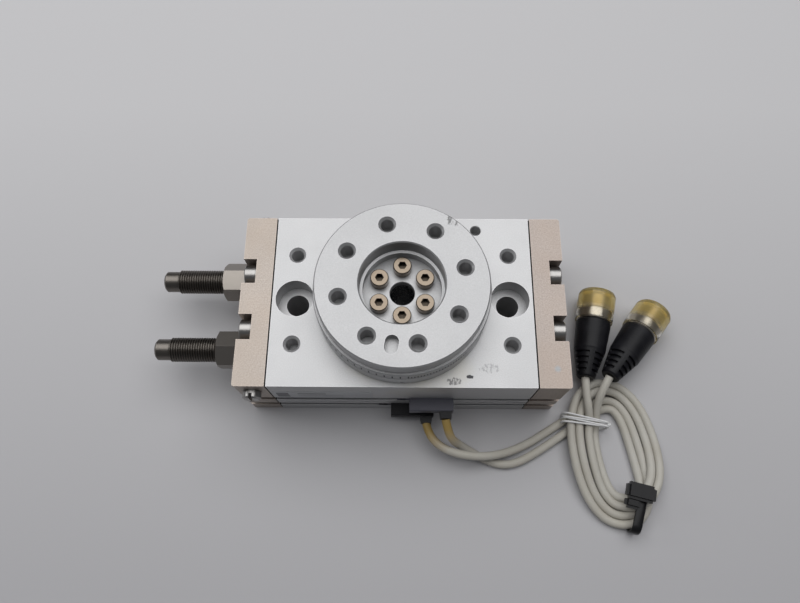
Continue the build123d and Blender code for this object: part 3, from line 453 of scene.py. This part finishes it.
# Distances in mm from a plug's rear end: the coupling nut's front, and the overmould's ringed part.
NUT_FRONT = 30.2
RINGS_FROM, RINGS_TO = 17.0, 24.0
RING_HALF = 0.5             # half of one ring's pitch


def along_plug(look, side):
    """Distance from the plug's rear end along its own axis, in metres."""
    heading, slope = radians(PLUG_HEADING[side]), radians(PLUG_SLOPE[side])
    way = Vector((cos(heading) * cos(slope), sin(heading) * cos(slope), -sin(slope)))
    reach = look.node("VectorMath", {"operation": "DOT_PRODUCT"}, _0=look.place, _1=way).outputs["Value"]
    return look.math("SUBTRACT", reach, mm(*PLUG_REAR[side]).dot(way))


def overmould_look(side):
    """Black moulding with fine grip rings behind its front edge."""
    look = Look(f"overmould_{side}", (0.008, 0.008, 0.010), 0.36, Specular_IOR_Level=0.2)
    reach = along_plug(look, side)
    inside = look.math("MULTIPLY", look.math("GREATER_THAN", reach, RINGS_FROM * MM),
                       look.math("LESS_THAN", reach, RINGS_TO * MM))
    rings = look.math("PINGPONG", reach, RING_HALF * MM)
    fine = look.noise(1400.0, 2.0)
    dust = look.noise(120.0, 5.0, 0.65)
    look.set("Base Color", look.ramp(dust, (0.45, (0.006, 0.006, 0.008)), (0.78, (0.016, 0.016, 0.019))))
    look.set("Roughness", look.math("ADD", 0.28, look.math("MULTIPLY", dust, 0.25)))
    height = look.math("ADD", look.math("MULTIPLY", look.math("MULTIPLY", rings, inside), 1 / MM),
                       look.math("MULTIPLY", fine, 0.15))
    look.bump(height, 0.5, 0.15 * MM)
    return look


def cap_look(side):
    """Soft protective cap: clear over the nut's band, amber and cloudy in front of it."""
    look = Look(f"amber_cap_{side}", (0.86, 0.68, 0.20), 0.25, 0.0, IOR=1.40)
    front = look.ramp(look.math("DIVIDE", along_plug(look, side), PLUG_LONG * MM),
                      (NUT_FRONT / PLUG_LONG - 0.02, 0.0), (NUT_FRONT / PLUG_LONG + 0.05, 1.0))
    cloud = look.noise(160.0, 4.0)
    amber = look.ramp(cloud, (0.3, (0.90, 0.76, 0.36)), (0.75, (0.84, 0.66, 0.24)))
    look.set("Base Color", look.mix(front, (0.97, 0.95, 0.88), amber))
    look.set("Transmission Weight", look.math("SUBTRACT", 1.0, look.math("MULTIPLY", front, 0.18)))
    look.set("Roughness", look.math("ADD", 0.06, look.math("MULTIPLY", front, 0.16)))
    look.bump(cloud, 0.1, 0.1 * MM)
    return look


for side in PLUG_REAR:
    paint(overmould_look(side), f"plug_overmould_{side}")
    paint(cap_look(side), f"protective_cap_{side}")

COIL_CENTRE = (88.0, -53.0)
COIL_HALF = (13.0, 24.0)
COIL_TILT = radians(7.5)
COIL_START, COIL_END = 0.03, 1.80         # turns, clockwise from the coil's far end
POINTS_PER_TURN = 14
# How far each quarter turn lies outside the mean oval, and the height of the strand at given turns. The first
# turn rises over the incoming leads on its left side, and the second over the first beside the black tie.
OUTWARD_LEFT = (-1.9, -2.4, 5.2, 4.9, 5.4, 5.0, -1.9, -2.8, -2.8)
OUTWARD_RIGHT = (-5.4, -5.9, 1.7, 1.3, 1.9, 1.5, -5.4, -5.9, -5.9)
HEIGHT_LEFT = ((0.0, 1.7), (0.60, 1.7), (0.75, 5.1), (0.95, 5.2), (1.10, 1.7), (1.22, 1.7), (1.33, 5.3),
               (1.45, 5.2), (1.56, 1.8), (1.64, 2.2), (1.75, 4.2), (2.0, 4.4))
HEIGHT_RIGHT = ((0.0, 1.7), (0.60, 1.7), (0.76, 5.1), (0.96, 5.2), (1.10, 1.7), (1.22, 1.7), (1.33, 5.3),
                (1.45, 5.2), (1.56, 1.7), (1.75, 1.7), (2.0, 2.4))


def level(keys, turn):
    """Smooth value between (turn, value) keys."""
    for (start, first), (end, second) in zip(keys, keys[1:]):
        if turn <= end:
            part = (turn - start) / (end - start)
            return first + (second - first) * part * part * (3 - 2 * part)
    return keys[-1][1]


def coil(outward, heights):
    """Points of one lead's loose turns: an oval with round ends, leaning to the left."""
    steps = round((COIL_END - COIL_START) * POINTS_PER_TURN)
    quarters = [(0.25 * i, value) for i, value in enumerate(outward)]
    points = []
    for i in range(steps + 1):
        turn = COIL_START + (COIL_END - COIL_START) * i / steps
        angle = pi / 2 - 2 * pi * turn
        across, along = (half + level(quarters, turn) for half in COIL_HALF)
        u = sin(angle)
        x = across * cos(angle)
        y = across * u + (along - across) * u * (1.5 - 0.5 * u * u)     # round ends, flatter sides
        points.append((COIL_CENTRE[0] + x * cos(COIL_TILT) - y * sin(COIL_TILT),
                       COIL_CENTRE[1] + x * sin(COIL_TILT) + y * cos(COIL_TILT), level(heights, turn)))
    return points


YELLOW_REACH = 16 * MM


def lead_look(name, switch_exit):
    """Grey jacket with faint stains, yellowed near the switch."""
    look = plastic(name, (0.37, 0.355, 0.315), 0.42, 1800.0, 0.15)
    away = look.node("VectorMath", {"operation": "DISTANCE"}, _0=look.place, _1=switch_exit).outputs["Value"]
    yellow = look.ramp(look.math("MULTIPLY", away, 1 / YELLOW_REACH, clamp=True), (0.25, 1.0), (0.95, 0.0))
    stain = look.noise(45.0, 4.0, 0.6)
    grey = look.ramp(stain, (0.30, (0.52, 0.505, 0.46)), (0.72, (0.45, 0.425, 0.37)))
    look.set("Base Color", look.mix(yellow, grey, (0.36, 0.25, 0.085)))
    return look


def cord(name, points, look, replaced):
    """One switch lead: a smooth curve from the switch to its plug."""
    data = bpy.data.curves.new(name, "CURVE")
    data.dimensions = "3D"
    data.bevel_depth = CABLE_R * MM
    data.bevel_resolution = 5
    data.resolution_u = 8
    data.use_fill_caps = True
    spline = data.splines.new("NURBS")
    spline.points.add(len(points) - 1)
    for point, place in zip(spline.points, points):
        point.co = (*mm(*place), 1)
    spline.order_u = 3
    spline.use_endpoint_u = True
    data.materials.append(look.material)
    piece = bpy.data.objects.new(name, data)
    scene.collection.objects.link(piece)
    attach(piece, "body")
    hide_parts(*replaced)
    return piece


lead_left = cord("switch_lead_left", [*LEAD_LEFT, *coil(OUTWARD_LEFT, HEIGHT_LEFT), *TAIL_LEFT],
                 lead_look("jacket_left", mm(*LEAD_LEFT[0])), ("lead_left", "lead_tail_left", "cable_coil"))
lead_right = cord("switch_lead_right", [*LEAD_RIGHT, *coil(OUTWARD_RIGHT, HEIGHT_RIGHT), *TAIL_RIGHT],
                  lead_look("jacket_right", mm(*LEAD_RIGHT[0])), ("lead_right", "lead_tail_right"))

# ---- ties round the coil -----------------------------------------------------------------------
def tubes(name, look, paths, section, replaced):
    """Mesh of round or flat bands: each closed path in millimetres carries the (sideways, out) section."""
    mesh = bmesh.new()
    for path, sideways in paths:
        rings = []
        for i, point in enumerate(path):
            run = (Vector(path[(i + 1) % len(path)]) - Vector(path[i - 1])).normalized()
            side = Vector(sideways)
            out = run.cross(side).normalized()
            rings.append([mesh.verts.new((Vector(point) + side * a + out * b) * MM) for a, b in section])
        count = len(section)
        for first, second in zip(rings, rings[1:] + rings[:1]):
            for k in range(count):
                mesh.faces.new((first[k], first[(k + 1) % count], second[(k + 1) % count], second[k]))
    bmesh.ops.recalc_face_normals(mesh, faces=mesh.faces)
    for face in mesh.faces:
        face.smooth = True
    return solid(name, mesh, look, replaced)


def solid(name, mesh, look, replaced=None, body="body"):
    """Piece that rides on a body, made from a finished bmesh."""
    data = bpy.data.meshes.new(name)
    mesh.to_mesh(data)
    mesh.free()
    data.materials.append(look.material)
    piece = bpy.data.objects.new(name, data)
    scene.collection.objects.link(piece)
    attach(piece, body)
    if replaced:
        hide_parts(replaced)
    return piece


CORNER_STEPS = 5


def hoop(centre, turn, half, low, high, corner, shift=0.0, lean=0.0):
    """Closed upright rectangle with round corners, in a vertical plane that is turned round Z."""
    along = Vector((cos(radians(turn)), sin(radians(turn)), 0))
    across = Vector((-along.y, along.x, 0))
    middle = Vector((*centre, 0)) + across * shift
    path = []
    for u_sign, top, start in ((1, high, 0), (-1, high, 90), (-1, low, 180), (1, low, 270)):
        for step in range(CORNER_STEPS + 1):
            angle = radians(start + 90 * step / CORNER_STEPS)
            u = u_sign * (half - corner) + corner * cos(angle)
            z = top + corner * (sin(angle) - copysign(1, sin(radians(start + 45))))
            path.append(tuple(middle + along * u + across * lean * u / half + Vector((0, 0, z))))
    return path, tuple(across)


def circle(radius, count=10):
    """Round section."""
    return [(radius * cos(2 * pi * k / count), radius * sin(2 * pi * k / count)) for k in range(count)]


def strap(width, thick, bevel=0.25):
    """Flat band section with small bevels."""
    w, t = width / 2, thick / 2
    return [(w - bevel, -t), (w, bevel - t), (w, t - bevel), (w - bevel, t),
            (bevel - w, t), (-w, t - bevel), (-w, bevel - t), (bevel - w, -t)]


WIRE_R = 0.42
WIRE_TIE = {"centre": (76.2, -41.0), "turn": -10.0, "half": 9.3, "low": 0.5, "corner": 2.0}
WIRE_TOP, WIRE_RISE, WIRE_PITCH = 7.4, 0.25, 0.85
WIRE_LEANS = (0.5, -0.4, 0.3, -0.5)

wires = [hoop(**WIRE_TIE, high=WIRE_TOP + WIRE_RISE * k, shift=WIRE_PITCH * (k - 1.5), lean=lean)
         for k, lean in enumerate(WIRE_LEANS)]
wire_look = plastic("tie_white", (0.74, 0.74, 0.74), 0.35)
wire_tie = tubes("wire_tie_strands", wire_look, wires, circle(WIRE_R), "wire_tie")

# The strands' twisted end: a spiral along X that swells and closes again, and a straight run back inside it.
TWIST_X, TWIST_Y, TWIST_Z = 84.2, -42.6, 6.2
TWIST_TURNS, TWIST_STEPS = 2.5, 30
TWIST_ADVANCE, TWIST_R = 0.075, 0.95
BACK_EVERY = 6

twist_path = []
for k in range(TWIST_STEPS):
    angle = 2 * pi * TWIST_TURNS * k / TWIST_STEPS
    swell = TWIST_R * sin(pi * (k + 0.5) / TWIST_STEPS)
    twist_path.append((TWIST_X + TWIST_ADVANCE * k,
                       TWIST_Y + swell * cos(angle),
                       TWIST_Z + swell * sin(angle)))
twist_back = [(x, TWIST_Y, TWIST_Z) for x, _, _ in reversed(twist_path)]
twist = tubes("wire_tie_twist", wire_look, [(twist_path + twist_back[::BACK_EVERY], (0, 0, 1))],
              circle(WIRE_R), "wire_tie")

CABLE_TIE = {"centre": (94.2, -76.2), "turn": 72.0, "half": 8.6, "low": 0.7, "high": 8.0, "corner": 2.6}
BAND_WIDTH, BAND_THICK = 3.6, 1.1
HEAD_PLACE, HEAD_TURN, HEAD_BEVEL = (94.6, -69.6, 9.6), -14, 1.1
HEAD_BLOCKS = (((11.4, 6.6, 4.6), (0, 0, 0)), ((6.2, 4.4, 3.4), (-2.4, -4.6, -1.2)))     # size and offset

tie_look = plastic("tie_black", (0.006, 0.006, 0.007), 0.30)
cable_tie = tubes("cable_tie_band", tie_look, [hoop(**CABLE_TIE)], strap(BAND_WIDTH, BAND_THICK),
                  "cable_tie")


def tie_head():
    """Lock of the tie: a bevelled block and a smaller one beside it."""
    mesh = bmesh.new()
    place = Matrix.Translation(mm(*HEAD_PLACE)) @ Matrix.Rotation(radians(HEAD_TURN), 4, "Z")
    for size, offset in HEAD_BLOCKS:
        stage = place @ Matrix.Translation(mm(*offset)) @ Matrix.Diagonal((*mm(*size), 1))
        bmesh.ops.create_cube(mesh, size=1.0, matrix=stage)
    bmesh.ops.bevel(mesh, geom=mesh.edges[:], offset=HEAD_BEVEL * MM, segments=2, affect="EDGES")
    return solid("cable_tie_head", mesh, tie_look, "cable_tie")


head = tie_head()

# ---- graduations on the table's rim ------------------------------------------------------------
SCALE_R = 33.53
INDEX_R = SCALE_R - 0.15
INDEX_MARK = (0, 0.35, 44.2, 46.0)
TICK_HALF = 0.24
TICK_LOW, TICK_HIGH = 47.4, 49.9
TICK_SHORT = 1.5
COARSE = [-55.7 + 5 * k for k in range(13)]     # degrees from the front, positive to the right
FINE = [6.3 + 2 * k for k in range(20)]


def rim_marks(name, marks, color, radius, body):
    """Thin painted marks on an upright cylinder: (angle, half width, low, high) in degrees and mm."""
    mesh = bmesh.new()
    for angle, half, low, high in marks:
        middle = Vector((sin(radians(angle)), -cos(radians(angle)), 0)) * radius
        side = Vector((cos(radians(angle)), sin(radians(angle)), 0)) * half
        corners = ((-1, low), (1, low), (1, high), (-1, high))
        mesh.faces.new([mesh.verts.new((middle + side * s + Vector((0, 0, z))) * MM) for s, z in corners])
    solid(name, mesh, plastic(name + "_paint", color, 0.5), body=body)


marks = [(angle, TICK_HALF, TICK_LOW, TICK_HIGH) for angle in COARSE]
marks += [(angle, TICK_HALF, TICK_LOW, TICK_LOW + TICK_SHORT) for angle in FINE]
rim_marks("graduations", marks, (0.015, 0.015, 0.016), SCALE_R, "table")
rim_marks("index_mark", [INDEX_MARK], (0.02, 0.02, 0.02), INDEX_R, "body")

# ---- cords, sizes and the end ------------------------------------------------------------------
for side, piece, start in (("left", lead_left, LEAD_LEFT[0]), ("right", lead_right, LEAD_RIGHT[0])):
    carried = [nodes[f"{part}_{side}"] for part in ("plug_overmould", "coupling_nut", "contact_insert",
                                                    "protective_cap")]
    if side == "left":
        carried += [wire_tie, twist, cable_tie, head]
